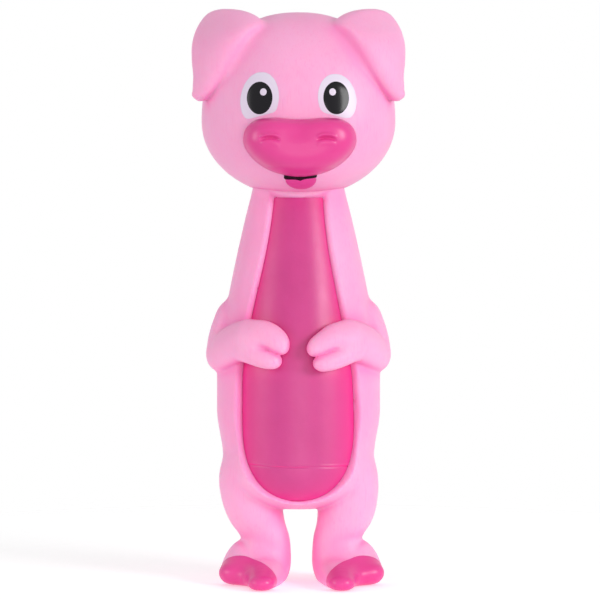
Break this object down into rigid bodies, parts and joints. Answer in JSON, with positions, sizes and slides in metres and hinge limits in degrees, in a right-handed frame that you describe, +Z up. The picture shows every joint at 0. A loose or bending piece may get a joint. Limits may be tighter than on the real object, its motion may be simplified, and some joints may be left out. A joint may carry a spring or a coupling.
{
  "type": "pig dog toy",
  "caption": "Soft vinyl pig dog toy that stands and hugs a glossy crackle bottle seen through a window in its body, with a squeaker in its head.",
  "frame": {"origin": "middle of the footprint of the whole toy, on the floor plane under the feet", "axes": "+Z up along the toy's height, the pig looks along -Y, its left hand is at +X"},
  "size_m": [0.1126, 0.1068, 0.3045],
  "materials": {
    "skin_vinyl": "satin, slightly grained soft vinyl",
    "magenta_vinyl": "semi-gloss paint on vinyl",
    "bottle_plastic": "glossy tinted plastic",
    "eye_white_paint": "gloss paint",
    "black_paint": "gloss paint",
    "squeaker_plastic": "plain moulded plastic"
  },
  "bodies": {
    "pig": {"body_sleeve": "skin_vinyl", "head_shell": "skin_vinyl", "left_ear": "skin_vinyl", "right_ear": "skin_vinyl", "left_arm": "skin_vinyl", "right_arm": "skin_vinyl", "left_leg": "skin_vinyl", "right_leg": "skin_vinyl", "tail": "skin_vinyl", "left_hoof": "magenta_vinyl", "right_hoof": "magenta_vinyl", "snout": "magenta_vinyl", "tongue": "magenta_vinyl", "left_eye_white": "eye_white_paint", "right_eye_white": "eye_white_paint", "left_eye_glint": "eye_white_paint", "right_eye_glint": "eye_white_paint", "left_pupil": "black_paint", "right_pupil": "black_paint", "mouth_line": "black_paint", "squeaker_cup": "squeaker_plastic", "reed_block": "squeaker_plastic"},
    "crackle_bottle": {"bottle": "bottle_plastic"},
    "reed": {"squeaker_reed": "squeaker_plastic"}
  },
  "joints": [
    {"name": "bottle_turn", "type": "hinge", "parent": "pig", "child": "crackle_bottle", "pos_m": [0, 0.00851, 0.12], "axis": [0, 0, 1], "continuous": true},
    {"name": "reed_flex", "type": "hinge", "parent": "pig", "child": "reed", "pos_m": [0, 0.04143, 0.24626], "axis": [1, 0, 0], "range_deg": [-12, 0], "stiffness_Nm_per_rad": 0.0001}
  ]
}
